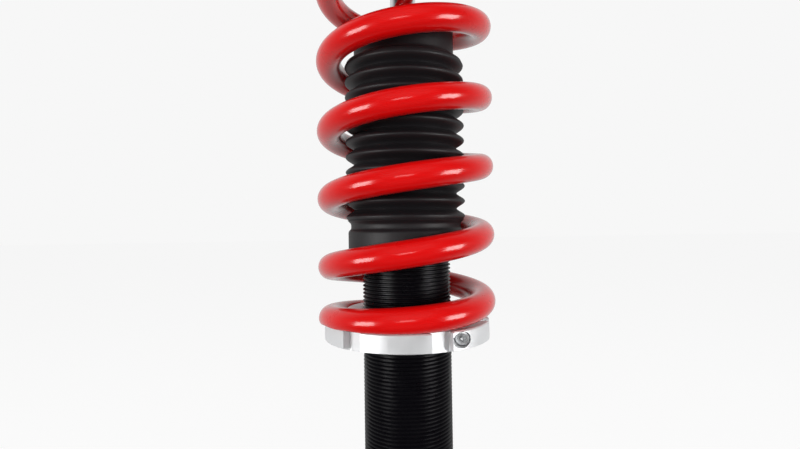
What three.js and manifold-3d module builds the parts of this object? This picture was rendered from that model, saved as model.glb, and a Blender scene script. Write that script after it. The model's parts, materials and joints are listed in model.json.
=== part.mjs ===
// A coilover: a threaded monotube damper with a coil spring round it, an adjustable spring perch,
// a rubber dust boot, an eye with a rubber bush at the bottom and a ball-jointed top plate.
// Millimetres. The origin is the centre of the lower eye, the eye's axis is Y and +Z runs up the rod.
import * as THREE from "three";
import { mergeVertices } from "three/addons/utils/BufferGeometryUtils.js";
import Module from "manifold-3d";

const wasm = await Module();
wasm.setup();

// ---------------------------------------------------------------- driving dimensions
const perchHeight = 165; // lower eye centre to the underside of the spring perch
const gap = 0.3; // left between pieces that touch
const smooth = 40; // facets round a large turned piece
const coarse = 20; // facets round a small turned piece

const bodyRadius = 23.9; // crest of the M48 x 2 thread
const boreRadius = 20; // inside of the damper tube
const bodyBottom = perchHeight - 122;
const bodyTop = perchHeight + 56;

const wireDiameter = 13.6;
const coilRadius = 41; // spring axis to wire centre
const coilPitch = 36.45;
const upperPitch = 38.4; // the upper half of the spring is wound a little wider
const endPitch = 17; // rise of the closed end coil in one turn
const endCoilRise = 14.5; // wire centre above the perch underside where the end coil passes -Y
const symmetryTurns = 6; // turns between the closed coils' -Y crossings, lower to upper
const endTurns = 190 / 360; // wire beyond that point, down to the tip
const openingStart = 0; // where the closed coil starts to open, in turns
const openingEnd = 172 / 360; // where it has reached the full pitch

const perchRadius = 44.6;
const perchThickness = 8.65;
const perchHem = 0.5; // the rim's lower edge, below perchHeight
const perchBelow = 1.9; // the cone under the rim ends in a flat face this far down
const perchBossRadius = 33.8; // fits inside the spring
const perchBossTop = 14.5;
const notchWidth = 10.9;
const notchDepth = 4.8;
const notchCount = 6;
const slitAngle = -12; // degrees from +X; the slit runs through one notch
const slitWidth = 1.6;
const clampDistance = 30.8; // perch axis to the pinch bolt's line
const clampHeight = 4.05;
const clampSeat = 24; // slit to the seat under the bolt's head
const clampEnd = 11; // slit to the bolt's tip, on the far side
const clampRadius = 2;
const clampHeadRadius = 3.45;
const clampHeadHeight = 4;
const clampPocketRadius = 4.05;

const bootBottom = perchHeight + 43;
const bootTop = perchHeight + 166;
const bootFirstPeak = perchHeight + 64;
const bootPitch = 8.17;
const bootPeaks = 11;
const bootPeakRadius = 32.5;
const bootValleyRadius = 27.9;
const bootSkirtRadius = 31.4;
const bootGrooveRadius = 29.9;
const bootNeckRadius = 27.3;
const bootHoleRadius = 12.6;
const bootWall = 1.5;

const rodRadius = 7;
const rodEndRadius = 5; // the stem that carries the piston
const rodTopRadius = 6; // the M12 end that carries the top mount
const rodBoreRadius = 2;

const ballRadius = 12;
const ballFlat = 8; // ball centre to each flat face
const raceRadius = 17;
const raceFlat = 6.8;
const plateRadius = 52;
const plateThickness = 8;
const studCircle = 40;
const studRadius = 4;
const studCount = 3;

// ---------------------------------------------------------------- finishes
const finish = (color, roughness, metalness) =>
  new THREE.MeshStandardMaterial({ color, roughness, metalness });
const blackAnodised = finish(0x101014, 0.3, 0.7);
const redPowder = finish(0xd01410, 0.25, 0.0);
const bareAluminium = finish(0xd4d6d9, 0.3, 0.9);
const blackRubber = finish(0x1e1c1f, 0.7, 0.0);
const chromedSteel = finish(0xd8dadc, 0.08, 1.0);
const zincSteel = finish(0xb4b7ba, 0.35, 0.9);
const hardenedSteel = finish(0x6d7074, 0.3, 0.95);
const palePolymer = finish(0xd9cfae, 0.6, 0.0);
const bronzeBand = finish(0x7d5a33, 0.5, 0.2);
const blueAnodised = finish(0x27306e, 0.3, 0.8);

// ---------------------------------------------------------------- shared shapes
const coilover = new THREE.Group();

function place(name, geometry, material) {
  const mesh = new THREE.Mesh(geometry, material);
  mesh.name = name;
  coilover.add(mesh);
  return mesh;
}

// Turns an outline of [radius, height] pairs about Z. It is closed on itself unless both of its
// ends are on the axis, and it is run anticlockwise so that the faces point out.
function turned(outline, facets = coarse) {
  const points = outline.map(([radius, height]) => new THREE.Vector2(radius, height));
  if (THREE.ShapeUtils.area(points) < 0) points.reverse();
  const onAxis = points[0].x === 0 && points[points.length - 1].x === 0;
  if (!onAxis) points.push(points[0].clone());
  return new THREE.LatheGeometry(points, facets).rotateX(Math.PI / 2);
}

// A plain washer or sleeve between two heights.
function sleeve(inner, outer, low, high, facets = coarse) {
  return turned([[inner, low], [outer, low], [outer, high], [inner, high]], facets);
}

function toSolid(geometry) {
  const bare = new THREE.BufferGeometry();
  bare.setAttribute("position", geometry.getAttribute("position"));
  if (geometry.index) bare.setIndex(geometry.index);
  const merged = mergeVertices(bare, 1e-4);
  return new wasm.Manifold(
    new wasm.Mesh({
      numProp: 3,
      vertProperties: merged.attributes.position.array,
      triVerts: new Uint32Array(merged.index.array),
    }),
  );
}

function toGeometry(solid) {
  const mesh = solid.getMesh();
  const geometry = new THREE.BufferGeometry();
  geometry.setAttribute("position", new THREE.BufferAttribute(mesh.vertProperties, 3));
  geometry.setIndex(new THREE.BufferAttribute(mesh.triVerts, 1));
  return geometry;
}

// A hexagonal nut with a plain hole, standing on `low`.
function hexNut(acrossFlats, holeRadius, low, high) {
  const corner = acrossFlats / Math.sqrt(3);
  const outline = new THREE.Shape();
  for (let side = 0; side < 6; side++) {
    const angle = (side * Math.PI) / 3;
    const x = corner * Math.cos(angle);
    const y = corner * Math.sin(angle);
    if (side === 0) outline.moveTo(x, y);
    else outline.lineTo(x, y);
  }
  outline.closePath();
  outline.holes.push(new THREE.Path().absarc(0, 0, holeRadius, 0, 2 * Math.PI, true));
  const nut = new THREE.ExtrudeGeometry(outline, {
    depth: high - low,
    bevelEnabled: false,
    curveSegments: 20,
  });
  return nut.translate(0, 0, low);
}

// ---------------------------------------------------------------- damper body
place(
  "threaded_body",
  sleeve(boreRadius, bodyRadius, bodyBottom + gap, bodyTop, smooth),
  blackAnodised,
);

const eyeRadius = 19.5;
const eyeBore = 16.3;
const eyeWidth = 28;
const spigotRadius = boreRadius - gap;
const spigotTop = bodyBottom + 10;
const ringGroove = spigotRadius - 2.4; // bottom of an O-ring groove
const lowerEyeNeck = toSolid(
  turned(
    [
      [0, 4],
      [13, 4],
      [13, 21],
      [17, 28],
      [bodyRadius - 1, 34],
      [bodyRadius, 35],
      [bodyRadius, bodyBottom],
      [spigotRadius, bodyBottom],
      [spigotRadius, bodyBottom + 3.7],
      [ringGroove, bodyBottom + 3.7],
      [ringGroove, bodyBottom + 6.3],
      [spigotRadius, bodyBottom + 6.3],
      [spigotRadius, spigotTop],
      [0, spigotTop],
    ],
    smooth,
  ),
);
const eyeRing = toSolid(new THREE.CylinderGeometry(eyeRadius, eyeRadius, eyeWidth, smooth));
const eyeHole = toSolid(new THREE.CylinderGeometry(eyeBore, eyeBore, 3 * eyeWidth, smooth));
place("lower_eye", toGeometry(lowerEyeNeck.add(eyeRing).subtract(eyeHole)), blackAnodised);

// An O-ring of six-sided section lying in a groove whose middle is at `height`.
function oRing(height) {
  const section = 1;
  const middle = spigotRadius - section;
  const outline = [];
  for (let side = 0; side < 6; side++) {
    const angle = (side * Math.PI) / 3;
    outline.push([middle + section * Math.cos(angle), height + section * Math.sin(angle)]);
  }
  return turned(outline, 24);
}
place("base_oring", oRing(bodyBottom + 5), blackRubber);

const bushWidth = 32;
const sleeveRadius = 10;
const boltHoleRadius = 6.1;
const sleeveWidth = 40;
const bush = turned(
  [
    [sleeveRadius + gap, -bushWidth / 2],
    [14.5, -bushWidth / 2],
    [eyeBore - gap, -bushWidth / 2 + 2],
    [eyeBore - gap, bushWidth / 2 - 2],
    [14.5, bushWidth / 2],
    [sleeveRadius + gap, bushWidth / 2],
  ],
  32,
);
place("eye_bush_rubber", bush.rotateX(Math.PI / 2), blackRubber);
const bushSleeve = sleeve(boltHoleRadius, sleeveRadius, -sleeveWidth / 2, sleeveWidth / 2, 32);
place("eye_bush_sleeve", bushSleeve.rotateX(Math.PI / 2), zincSteel);

const guideBottom = perchHeight + 28;
const guideTop = perchHeight + 50;
const sealRadius = 12;
const sealBottom = perchHeight + 44;
place(
  "rod_guide",
  turned([
    [rodRadius + gap, guideBottom],
    [spigotRadius - 1, guideBottom],
    [spigotRadius, guideBottom + 1],
    [spigotRadius, guideTop],
    [sealRadius + gap, guideTop],
    [sealRadius + gap, sealBottom - gap],
    [rodRadius + gap, sealBottom - gap],
  ]),
  bareAluminium,
);
place(
  "rod_seal",
  turned([
    [rodRadius + gap, sealBottom],
    [sealRadius, sealBottom],
    [sealRadius, guideTop - gap],
    [rodRadius + 2, guideTop - gap],
    [rodRadius + gap, guideTop - 2],
  ]),
  blackRubber,
);
const glandTop = perchHeight + 59;
place(
  "gland_nut",
  turned([
    [rodRadius + 2, guideTop + gap],
    [spigotRadius, guideTop + gap],
    [spigotRadius, bodyTop + gap],
    [bodyRadius, bodyTop + gap],
    [bodyRadius, glandTop - 0.6],
    [bodyRadius - 0.6, glandTop],
    [rodRadius + 2, glandTop],
  ]),
  blackAnodised,
);

// ---------------------------------------------------------------- floating gas piston
const gasPistonBottom = perchHeight - 100;
const gasPistonTop = perchHeight - 88;
const gasPistonMiddle = (gasPistonBottom + gasPistonTop) / 2;
place(
  "gas_piston",
  turned([
    [0, gasPistonBottom + 5],
    [13, gasPistonBottom + 5],
    [14, gasPistonBottom],
    [spigotRadius, gasPistonBottom],
    [spigotRadius, gasPistonMiddle - 1.3],
    [ringGroove, gasPistonMiddle - 1.3],
    [ringGroove, gasPistonMiddle + 1.3],
    [spigotRadius, gasPistonMiddle + 1.3],
    [spigotRadius, gasPistonTop],
    [0, gasPistonTop],
  ]),
  bareAluminium,
);
place("gas_piston_oring", oRing(gasPistonMiddle), blackRubber);

// ---------------------------------------------------------------- rod and piston
const pistonBottom = perchHeight + 8;
const pistonTop = perchHeight + 22;
const pistonRadius = 19.4;
const bandFloor = 18.3;
const stemClear = rodEndRadius + gap;
const shimStack = 2;
const shoulder = pistonTop + shimStack + 2 * gap;
const nutThickness = 7.4;
const nutTop = pistonBottom - shimStack - 2 * gap;
place(
  "piston",
  turned([
    [stemClear, pistonBottom],
    [pistonRadius, pistonBottom],
    [pistonRadius, pistonBottom + 3],
    [bandFloor, pistonBottom + 3],
    [bandFloor, pistonTop - 3],
    [pistonRadius, pistonTop - 3],
    [pistonRadius, pistonTop],
    [stemClear, pistonTop],
  ]),
  bareAluminium,
);
place(
  "piston_band",
  sleeve(bandFloor + gap, spigotRadius, pistonBottom + 3 + gap, pistonTop - 3 - gap),
  bronzeBand,
);

// A stack of spring-steel discs that get smaller away from the piston face at `face`.
function shims(face, direction) {
  const steps = [17, 14, 11];
  const outline = [[stemClear, face]];
  steps.forEach((radius, index) => {
    const near = face + (direction * index * shimStack) / steps.length;
    const far = face + (direction * (index + 1) * shimStack) / steps.length;
    outline.push([radius, near], [radius, far]);
  });
  outline.push([stemClear, face + direction * shimStack]);
  return turned(outline);
}
place("compression_shims", shims(pistonTop + gap, 1), hardenedSteel);
place("rebound_shims", shims(pistonBottom - gap, -1), hardenedSteel);
place("piston_nut", hexNut(17, stemClear, nutTop - nutThickness, nutTop), zincSteel);

const springFloor = perchHeight + perchThickness + gap;

// Height of the wire's centre above the perch underside, `turns` turns past the point where the
// lower end coil crosses -Y. The closed coil climbs at endPitch and opens over half a turn to
// `pitch`. The upper half is such a half too, with the wider pitch, turned end over end.
function halfRise(turns, pitch) {
  const span = openingEnd - openingStart;
  const share = Math.min(Math.max((turns - openingStart) / span, 0), 1);
  const eased = share * share * share - (share * share * share * share) / 2;
  const opened = eased * span + Math.max(turns - openingEnd, 0);
  return endCoilRise + endPitch * turns + (pitch - endPitch) * opened;
}
const halfTurns = symmetryTurns / 2;
const springMiddle = perchHeight + halfRise(halfTurns, coilPitch);
const springCeiling =
  springMiddle + perchHeight + halfRise(halfTurns, upperPitch) - springFloor;
function wireHeight(turns) {
  if (turns < halfTurns) return perchHeight + halfRise(turns, coilPitch);
  return (
    springMiddle + halfRise(halfTurns, upperPitch) - halfRise(symmetryTurns - turns, upperPitch)
  );
}

const padThickness = 3;
const padBottom = springCeiling + gap;
const seatBottom = padBottom + padThickness + gap;
const seatTop = seatBottom + 8;
const ballCentre = seatTop + 16;
const topNutBottom = ballCentre + ballFlat + 2 * gap + 5;
const topNutThickness = 11;
const rodTop = topNutBottom + topNutThickness + 7;
const rodShoulder = springCeiling - 0.2;
const needleBottom = shoulder - 5;
place(
  "piston_rod",
  turned([
    [rodBoreRadius, nutTop - nutThickness - 2],
    [rodEndRadius - 0.6, nutTop - nutThickness - 2],
    [rodEndRadius, nutTop - nutThickness - 1.4],
    [rodEndRadius, shoulder],
    [rodRadius, shoulder],
    [rodRadius, rodShoulder],
    [rodTopRadius, rodShoulder],
    [rodTopRadius, rodTop - 0.8],
    [rodTopRadius - 0.8, rodTop],
    [rodBoreRadius, rodTop],
  ]),
  chromedSteel,
);

const needleRadius = rodBoreRadius - gap;
place(
  "adjuster_needle",
  turned(
    [
      [0, needleBottom],
      [needleRadius, needleBottom + 8],
      [needleRadius, rodTop + gap],
      [0, rodTop + gap],
    ],
    12,
  ),
  hardenedSteel,
);

const bumpBottom = perchHeight + 130;
place(
  "bump_stop",
  turned([
    [rodRadius + gap, bumpBottom],
    [16, bumpBottom],
    [21.5, bumpBottom + 3],
    [24.5, bumpBottom + 9],
    [22, bumpBottom + 14],
    [19.5, bumpBottom + 17],
    [22, bumpBottom + 20],
    [24.5, bumpBottom + 25],
    [24.5, bumpBottom + 31],
    [23, bootTop - bootWall - gap],
    [bootHoleRadius - gap, bootTop - bootWall - gap],
    [bootHoleRadius - gap, bootTop + gap],
    [bootHoleRadius + 1, bootTop + 1.3],
    [bootHoleRadius - gap, bootTop + 5],
    [rodRadius + gap, bootTop + 5],
  ]),
  palePolymer,
);

// ---------------------------------------------------------------- dust boot
// The same zigzag of peaks and valleys is followed up the outside and back down the inside.
function bootSide(inset) {
  const side = [
    [bootSkirtRadius - inset, bootBottom],
    [bootSkirtRadius - inset, bootFirstPeak - 6.4],
    [bootGrooveRadius - inset, bootFirstPeak - 4.2],
  ];
  for (let peak = 0; peak < bootPeaks; peak++) {
    const height = bootFirstPeak + peak * bootPitch;
    side.push([bootPeakRadius - inset, height]);
    if (peak < bootPeaks - 1) side.push([bootValleyRadius - inset, height + bootPitch / 2]);
  }
  side.push([bootNeckRadius - inset, bootFirstPeak + (bootPeaks - 1) * bootPitch + 4.1]);
  return side;
}
place(
  "dust_boot",
  turned(
    [
      ...bootSide(0),
      [bootNeckRadius, bootTop - 1.5],
      [bootNeckRadius - 1.5, bootTop],
      [bootHoleRadius, bootTop],
      [bootHoleRadius, bootTop - bootWall],
      [bootNeckRadius - bootWall, bootTop - bootWall],
      ...bootSide(bootWall).reverse(),
    ],
    24,
  ),
  blackRubber,
);

// ---------------------------------------------------------------- coil spring
class CoilPath extends THREE.Curve {
  getPoint(share, target = new THREE.Vector3()) {
    const turns = -endTurns + share * (symmetryTurns + 2 * endTurns);
    const angle = (turns - 0.25) * 2 * Math.PI;
    const x = coilRadius * Math.cos(angle);
    const y = coilRadius * Math.sin(angle);
    return target.set(x, y, wireHeight(turns));
  }
}
const wireSides = 8;
const stepsPerTurn = 20;
const wireSection = new THREE.Shape();
for (let side = 0; side < wireSides; side++) {
  const angle = (side * 2 * Math.PI) / wireSides;
  const x = (wireDiameter / 2) * Math.cos(angle);
  const y = (wireDiameter / 2) * Math.sin(angle);
  if (side === 0) wireSection.moveTo(x, y);
  else wireSection.lineTo(x, y);
}
wireSection.closePath();
const wire = new THREE.ExtrudeGeometry(wireSection, {
  steps: Math.round(stepsPerTurn * (symmetryTurns + 2 * endTurns)),
  extrudePath: new CoilPath(),
  bevelEnabled: false,
});
const springLength = springCeiling - springFloor;
const groundEnds = new THREE.CylinderGeometry(70, 70, springLength, 12)
  .rotateX(Math.PI / 2)
  .translate(0, 0, (springFloor + springCeiling) / 2);
place("coil_spring", toGeometry(toSolid(wire).intersect(toSolid(groundEnds))), redPowder);

// ---------------------------------------------------------------- spring perch
const radians = THREE.MathUtils.degToRad;
const perchTop = perchHeight + perchThickness;
const perchBore = bodyRadius + 0.4;
let perch = toSolid(
  turned(
    [
      [perchBore, perchHeight - perchBelow],
      [perchRadius - 5, perchHeight - perchBelow],
      [perchRadius, perchHeight - perchHem],
      [perchRadius, perchTop - 0.6],
      [perchRadius - 0.6, perchTop],
      [perchBossRadius, perchTop],
      [perchBossRadius - 0.3, perchHeight + perchBossTop - 1],
      [perchBossRadius - 1.3, perchHeight + perchBossTop],
      [perchBore, perchHeight + perchBossTop],
    ],
    48,
  ),
);
for (let notch = 0; notch < notchCount; notch++) {
  const box = new THREE.BoxGeometry(2 * notchDepth, notchWidth, 3 * perchThickness)
    .translate(perchRadius, 0, perchHeight)
    .rotateZ(radians(slitAngle + (notch * 360) / notchCount));
  perch = perch.subtract(toSolid(box));
}
const slit = new THREE.BoxGeometry(perchRadius, slitWidth, 60)
  .translate(perchRadius / 2 + 15, 0, perchHeight)
  .rotateZ(radians(slitAngle));
perch = perch.subtract(toSolid(slit));

// A round bar along the pinch bolt's line, from `start` to `end` past the slit.
function alongClamp(radius, start, end, facets = 20) {
  return new THREE.CylinderGeometry(radius, radius, end - start, facets)
    .translate(clampDistance, (start + end) / 2, perchHeight + clampHeight)
    .rotateZ(radians(slitAngle));
}
const clampHole = toSolid(alongClamp(clampRadius + gap, -clampSeat - 1, clampEnd + 1));
const clampPocket = toSolid(alongClamp(clampPocketRadius, -clampSeat - 30, -clampSeat, 24));
place("spring_perch", toGeometry(perch.subtract(clampHole).subtract(clampPocket)), bareAluminium);

const clampShank = toSolid(alongClamp(clampRadius, -clampSeat - 1, clampEnd));
const clampHead = toSolid(
  alongClamp(clampHeadRadius, -clampSeat - gap - clampHeadHeight, -clampSeat - gap, 24),
);
const keySocket = toSolid(
  alongClamp(1.75, -clampSeat - gap - clampHeadHeight - 1, -clampSeat - gap - clampHeadHeight + 2, 6),
);
place("pinch_bolt", toGeometry(clampShank.add(clampHead).subtract(keySocket)), zincSteel);

// ---------------------------------------------------------------- upper spring seat and mount
const springOutside = coilRadius + wireDiameter / 2;
place(
  "upper_spring_pad",
  sleeve(perchBossRadius + gap, springOutside, padBottom, padBottom + padThickness, smooth),
  blackRubber,
);
const rodTopClear = rodTopRadius + gap;
place(
  "upper_spring_seat",
  turned(
    [
      [rodTopClear, rodShoulder + gap],
      [rodRadius + gap, rodShoulder + gap],
      [rodRadius + gap, padBottom - 6],
      [perchBossRadius - 0.3, padBottom - 6],
      [perchBossRadius, padBottom - 5],
      [perchBossRadius, seatBottom],
      [springOutside, seatBottom],
      [springOutside, seatBottom + 5],
      [springOutside - 1.5, seatBottom + 6.5],
      [20, seatBottom + 6.5],
      [15, seatTop],
      [rodTopClear, seatTop],
    ],
    smooth,
  ),
  blackAnodised,
);
const spacerRadius = 8.8;
place(
  "lower_spacer",
  turned([
    [rodTopClear, seatTop + gap],
    [13, seatTop + gap],
    [spacerRadius, seatTop + 5],
    [spacerRadius, ballCentre - ballFlat - gap],
    [rodTopClear, ballCentre - ballFlat - gap],
  ]),
  zincSteel,
);

// Points on an arc of `radius` about the ball's centre, from the lower flat to the upper one.
function ballArc(radius, flat, count = 5) {
  const limit = Math.asin(flat / radius);
  return Array.from({ length: count }, (_, index) => {
    const angle = -limit + (2 * limit * index) / (count - 1);
    return [radius * Math.cos(angle), ballCentre + radius * Math.sin(angle)];
  });
}
place(
  "pillow_ball",
  turned([
    [rodTopClear, ballCentre - ballFlat],
    ...ballArc(ballRadius, ballFlat),
    [rodTopClear, ballCentre + ballFlat],
  ]),
  hardenedSteel,
);
place(
  "pillow_race",
  turned([
    ...ballArc(ballRadius + gap, raceFlat),
    [raceRadius, ballCentre + raceFlat],
    [raceRadius, ballCentre - raceFlat],
  ]),
  zincSteel,
);

const housingRadius = 24;
const housingBore = raceRadius + gap;
const circlipLow = ballCentre + raceFlat + gap;
const circlipThickness = 1.4;
const housingTop = ballCentre + 10;
const lipTop = ballCentre - raceFlat - gap;
const plateBottom = ballCentre - 3;
const plateTop = plateBottom + plateThickness;
let plate = toSolid(
  turned(
    [
      [14.5, lipTop - 2.4],
      [housingRadius - 1, lipTop - 2.4],
      [housingRadius, lipTop - 1.4],
      [housingRadius, plateBottom],
      [plateRadius - 1, plateBottom],
      [plateRadius, plateBottom + 1],
      [plateRadius, plateTop - 1],
      [plateRadius - 1, plateTop],
      [housingRadius, plateTop],
      [housingRadius, housingTop - 1],
      [housingRadius - 1, housingTop],
      [housingBore, housingTop],
      [housingBore, circlipLow + circlipThickness + gap],
      [housingBore + 1, circlipLow + circlipThickness + gap],
      [housingBore + 1, circlipLow - gap / 2],
      [housingBore, circlipLow - gap / 2],
      [housingBore, lipTop],
      [14.5, lipTop],
    ],
    smooth,
  ),
);
const studAngles = Array.from({ length: studCount }, (_, index) => 90 + (index * 360) / studCount);
function aroundPlate(radius, low, high, angle, facets = 16) {
  return new THREE.CylinderGeometry(radius, radius, high - low, facets)
    .rotateX(Math.PI / 2)
    .translate(studCircle, 0, (low + high) / 2)
    .rotateZ(radians(angle));
}
for (const angle of studAngles) {
  const hole = aroundPlate(studRadius + gap, plateBottom - 5, plateTop + 5, angle);
  plate = plate.subtract(toSolid(hole));
}
place("top_plate", toGeometry(plate), bareAluminium);

studAngles.forEach((angle, index) => {
  const shank = aroundPlate(studRadius, plateBottom - 1, plateTop + 26, angle);
  const head = aroundPlate(studRadius + 2.5, plateBottom - gap - 3, plateBottom - gap, angle);
  place(`mount_stud_${index + 1}`, toGeometry(toSolid(shank).add(toSolid(head))), zincSteel);
});

// The circlip is an open ring lying in the housing's groove.
const circlipOpening = radians(15);
const circlip = new THREE.Shape();
circlip.absarc(0, 0, housingBore + 0.6, circlipOpening, 2 * Math.PI - circlipOpening, false);
circlip.absarc(0, 0, 14, 2 * Math.PI - circlipOpening, circlipOpening, true);
circlip.closePath();
const circlipBody = new THREE.ExtrudeGeometry(circlip, {
  depth: circlipThickness,
  bevelEnabled: false,
  curveSegments: 20,
});
place("race_circlip", circlipBody.translate(0, 0, circlipLow), hardenedSteel);

place(
  "upper_spacer",
  sleeve(rodTopClear, spacerRadius, ballCentre + ballFlat + gap, topNutBottom - gap),
  zincSteel,
);
place(
  "top_nut",
  hexNut(19, rodTopClear, topNutBottom, topNutBottom + topNutThickness),
  zincSteel,
);
const knobBottom = topNutBottom + topNutThickness + 1.2;
place(
  "adjuster_knob",
  turned([
    [0, rodTop + 2 * gap],
    [rodTopClear, rodTop + 2 * gap],
    [rodTopClear, knobBottom],
    [9, knobBottom],
    [9, rodTop + 8],
    [7.5, rodTop + 9.5],
    [0, rodTop + 9.5],
  ]),
  blueAnodised,
);

export default coilover;
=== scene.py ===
# %% [markdown]
# # A coilover, built up around its CAD frame
#
# A coilover is a damper with a coil spring round it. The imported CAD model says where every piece
# is and what moves, but its round pieces have flat facets and its threads are plain cylinders. This
# notebook makes the surface that the eye sees: each piece is worked out as an array of points from
# a few sizes, turned into a mesh, given a finish, and hung on the CAD body that carries it.

# %% Load the frame
import json
import math

import bpy
import numpy as np
from mathutils import Matrix
from mathutils import Vector

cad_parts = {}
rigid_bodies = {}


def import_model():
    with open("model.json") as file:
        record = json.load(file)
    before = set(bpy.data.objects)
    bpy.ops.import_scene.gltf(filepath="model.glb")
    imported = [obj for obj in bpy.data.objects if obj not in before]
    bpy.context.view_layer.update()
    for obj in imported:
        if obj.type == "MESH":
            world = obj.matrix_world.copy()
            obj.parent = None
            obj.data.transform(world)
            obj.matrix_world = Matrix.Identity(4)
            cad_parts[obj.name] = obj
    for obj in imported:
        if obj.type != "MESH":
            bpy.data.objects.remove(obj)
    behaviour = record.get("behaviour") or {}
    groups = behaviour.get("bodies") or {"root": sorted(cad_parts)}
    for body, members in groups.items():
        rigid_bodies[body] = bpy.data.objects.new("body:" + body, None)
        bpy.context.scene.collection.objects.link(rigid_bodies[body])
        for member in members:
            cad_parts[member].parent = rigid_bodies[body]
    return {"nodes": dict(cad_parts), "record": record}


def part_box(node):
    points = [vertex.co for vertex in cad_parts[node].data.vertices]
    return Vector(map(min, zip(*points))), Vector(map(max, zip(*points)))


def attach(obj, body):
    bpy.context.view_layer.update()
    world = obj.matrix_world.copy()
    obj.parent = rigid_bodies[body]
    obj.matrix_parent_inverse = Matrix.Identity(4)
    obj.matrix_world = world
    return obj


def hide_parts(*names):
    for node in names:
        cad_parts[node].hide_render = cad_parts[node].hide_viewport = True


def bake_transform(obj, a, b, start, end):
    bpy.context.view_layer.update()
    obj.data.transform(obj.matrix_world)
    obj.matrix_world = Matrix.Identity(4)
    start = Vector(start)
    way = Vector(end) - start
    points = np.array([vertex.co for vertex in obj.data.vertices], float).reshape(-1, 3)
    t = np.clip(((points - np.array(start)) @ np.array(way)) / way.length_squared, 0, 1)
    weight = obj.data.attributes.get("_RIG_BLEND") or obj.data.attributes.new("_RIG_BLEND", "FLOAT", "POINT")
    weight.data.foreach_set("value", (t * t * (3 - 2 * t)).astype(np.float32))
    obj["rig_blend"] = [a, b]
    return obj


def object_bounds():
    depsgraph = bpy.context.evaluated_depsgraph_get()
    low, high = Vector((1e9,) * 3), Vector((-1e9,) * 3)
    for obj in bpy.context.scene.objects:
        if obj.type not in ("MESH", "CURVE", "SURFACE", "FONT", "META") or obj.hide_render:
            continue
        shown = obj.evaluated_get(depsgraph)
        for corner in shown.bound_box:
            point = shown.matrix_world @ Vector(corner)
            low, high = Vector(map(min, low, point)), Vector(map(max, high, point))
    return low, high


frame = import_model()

cad_low, cad_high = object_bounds()
print("CAD box in metres", [round(x, 4) for x in (*cad_low, *cad_high)])

# %% [markdown]
# ## Driving sizes
#
# Everything is in metres, and `MM` turns the drawing's millimetres into them. Heights come from
# the frame: the seat of the spring perch's lower rim is the level that the spring, the boot and the
# body are drawn from, and every other turned piece is drawn upwards from its own lowest point.

# %% Sizes
MM = 0.001
PERCH_BELOW = 1.9 * MM
perch_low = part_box("spring_perch")[0].z + PERCH_BELOW
spring_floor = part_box("coil_spring")[0].z
spring_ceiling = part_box("coil_spring")[1].z

WIRE_RADIUS = 6.8 * MM
COIL_RADIUS = 41 * MM
COIL_PITCH = 36.45 * MM
UPPER_PITCH = 38.4 * MM
END_PITCH = 17 * MM
END_COIL_RISE = 14.5 * MM
SYMMETRY_TURNS = 6
END_TURNS = 190 / 360
OPENING_START = 0
OPENING_END = 172 / 360
LIFT_OFF = 0.1

THREAD_CREST = 23.9 * MM
THREAD_PITCH = 2 * MM
PERCH_RADIUS = 44.6 * MM
SLIT_ANGLE = math.radians(-12)

body_of = {n: b for b, ns in frame["record"]["behaviour"]["bodies"].items() for n in ns}
slot_of = {s["node"]: s["material_slot"] for s in frame["record"]["subparts"]}

# %% [markdown]
# ## The camera
#
# The eye is about 30 cm from the spring and a little above the perch, so the coils open away from
# it both upwards and downwards. The lens is wide because the camera is so close. The matrix is
# built from the direction that the camera looks in: right, up and back are its three columns.

# %% Camera
CAMERA_PLACE = Vector((-22.0 * MM, -294.15 * MM, perch_low + 60.68 * MM))
CAMERA_YAW = 0.0641
CAMERA_PITCH = 0.0169
CAMERA_ROLL = -0.0144
FOCAL_LENGTH_MM = 24.17
SHIFT_Y = -0.0132

ahead = Vector((
    math.sin(CAMERA_YAW) * math.cos(CAMERA_PITCH),
    math.cos(CAMERA_YAW) * math.cos(CAMERA_PITCH),
    math.sin(CAMERA_PITCH),
))
level_right = Vector((math.cos(CAMERA_YAW), -math.sin(CAMERA_YAW), 0))
level_up = level_right.cross(ahead)
right = math.cos(CAMERA_ROLL) * level_right + math.sin(CAMERA_ROLL) * level_up
up = math.cos(CAMERA_ROLL) * level_up - math.sin(CAMERA_ROLL) * level_right

camera_data = bpy.data.cameras.new("camera")
camera_data.lens = FOCAL_LENGTH_MM
camera_data.sensor_width = 36
camera_data.shift_y = SHIFT_Y
camera_data.clip_start = 0.01
camera = bpy.data.objects.new("camera", camera_data)
turn = Matrix((right, up, -ahead)).transposed()
camera.matrix_world = Matrix.Translation(CAMERA_PLACE) @ turn.to_4x4()
bpy.context.scene.collection.objects.link(camera)
bpy.context.scene.camera = camera
print("camera at", [round(x, 3) for x in CAMERA_PLACE])

# %% [markdown]
# ## From arrays to meshes
#
# A surface here is a pair: an array of points and a list of face arrays, four corners wide for
# quads and three for the fans at a pole. `build` copies one or more surfaces into a single mesh
# with `foreach_set`, which takes whole arrays, so no Python loop ever visits a vertex.

# %% Mesh helpers
def grid_faces(rows, columns, wrap_rows=False, wrap_columns=True):
    """Quads of a grid: each joins a point to its neighbour along the row and the two above them.
    The corners run point, next column, next column and row, next row, so with columns going
    anticlockwise and rows going up, the faces look outwards."""
    row = np.arange(rows if wrap_rows else rows - 1)[:, None]
    column = np.arange(columns if wrap_columns else columns - 1)[None, :]
    next_row = (row + 1) % rows
    next_column = (column + 1) % columns
    corners = [
        row * columns + column,
        row * columns + next_column,
        next_row * columns + next_column,
        next_row * columns + column,
    ]
    return np.stack(corners, axis=-1).reshape(-1, 4)


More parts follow.
